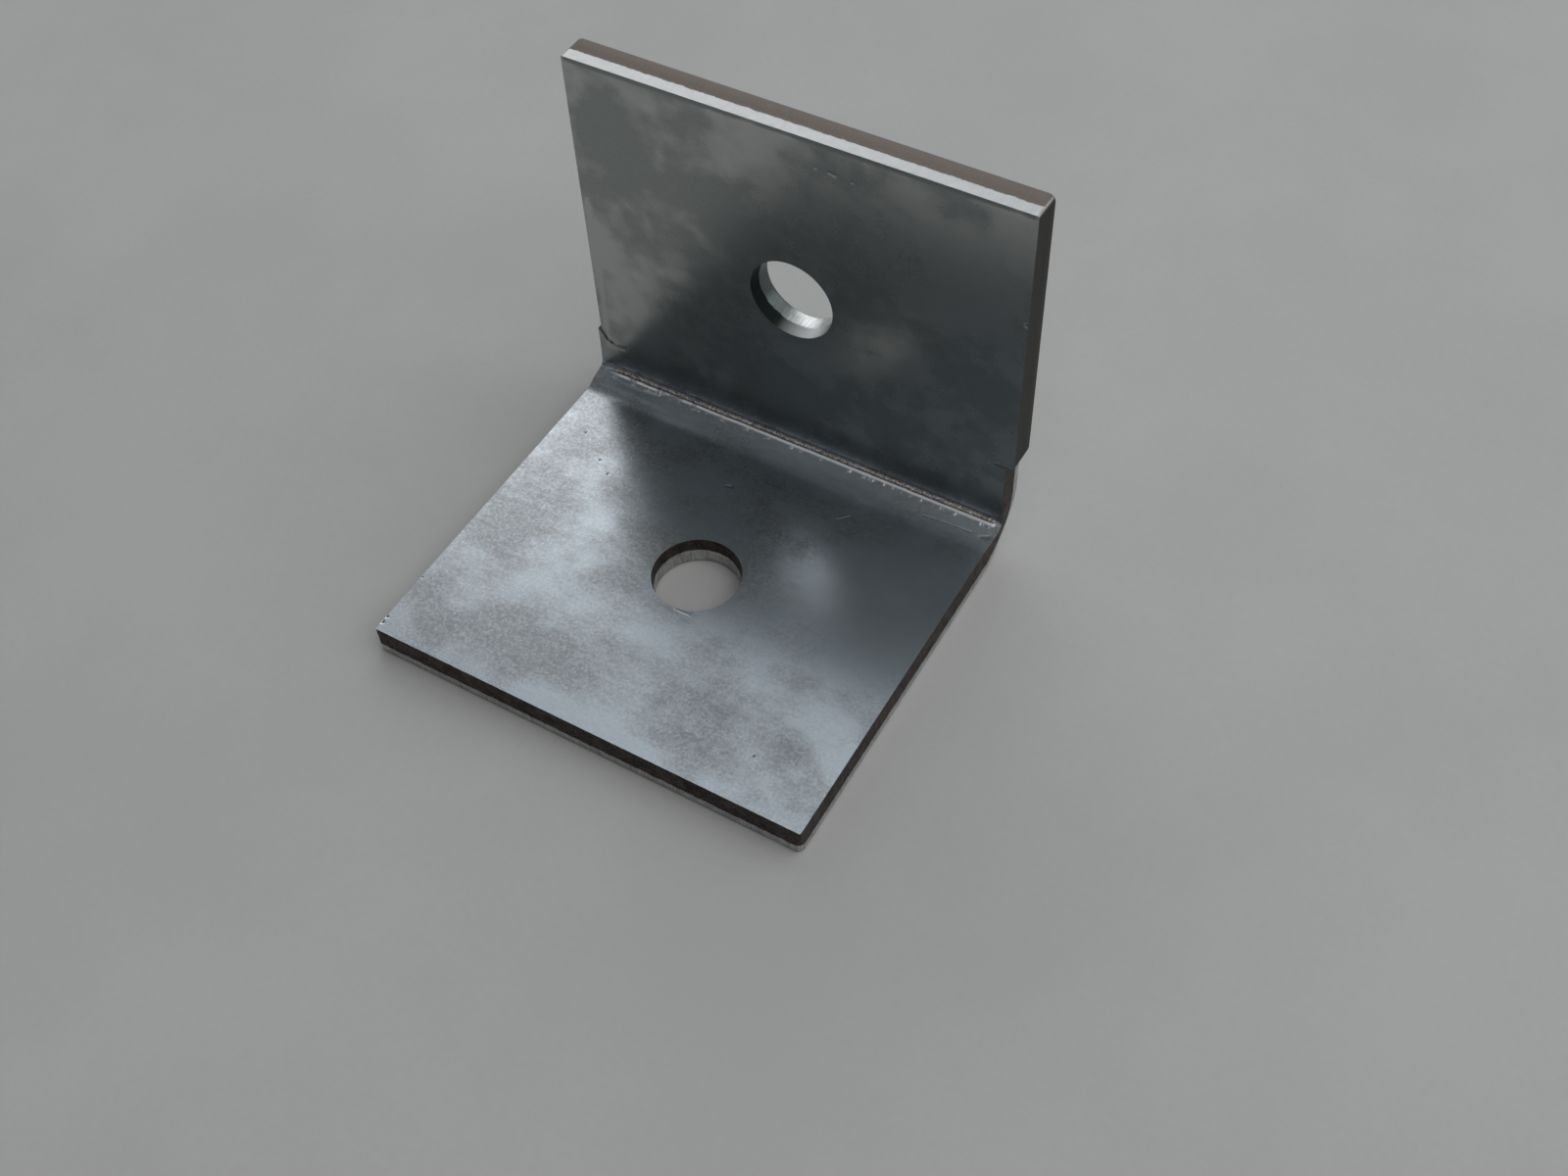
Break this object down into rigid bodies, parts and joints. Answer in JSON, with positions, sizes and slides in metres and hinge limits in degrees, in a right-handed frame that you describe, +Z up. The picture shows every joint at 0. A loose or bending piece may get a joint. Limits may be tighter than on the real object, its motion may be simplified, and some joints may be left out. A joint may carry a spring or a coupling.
{
  "type": "corner brace bracket",
  "caption": "Right-angled bracket of folded steel plate, with sheared edges and a punched bolt hole through each leg. It ties two members together at a corner.",
  "frame": {"origin": "on the ground, in the middle of the bracket's bounding box", "axes": "+X along the fold, +Y from the base's free edge to the upright, +Z up along the upright"},
  "size_m": [0.0458, 0.041, 0.041],
  "materials": {
    "bracket": "bare mill-finish steel, bluish grey and mottled, with dark torn edges"
  },
  "bodies": {
    "root": {"bracket": "bracket"}
  },
  "joints": []
}
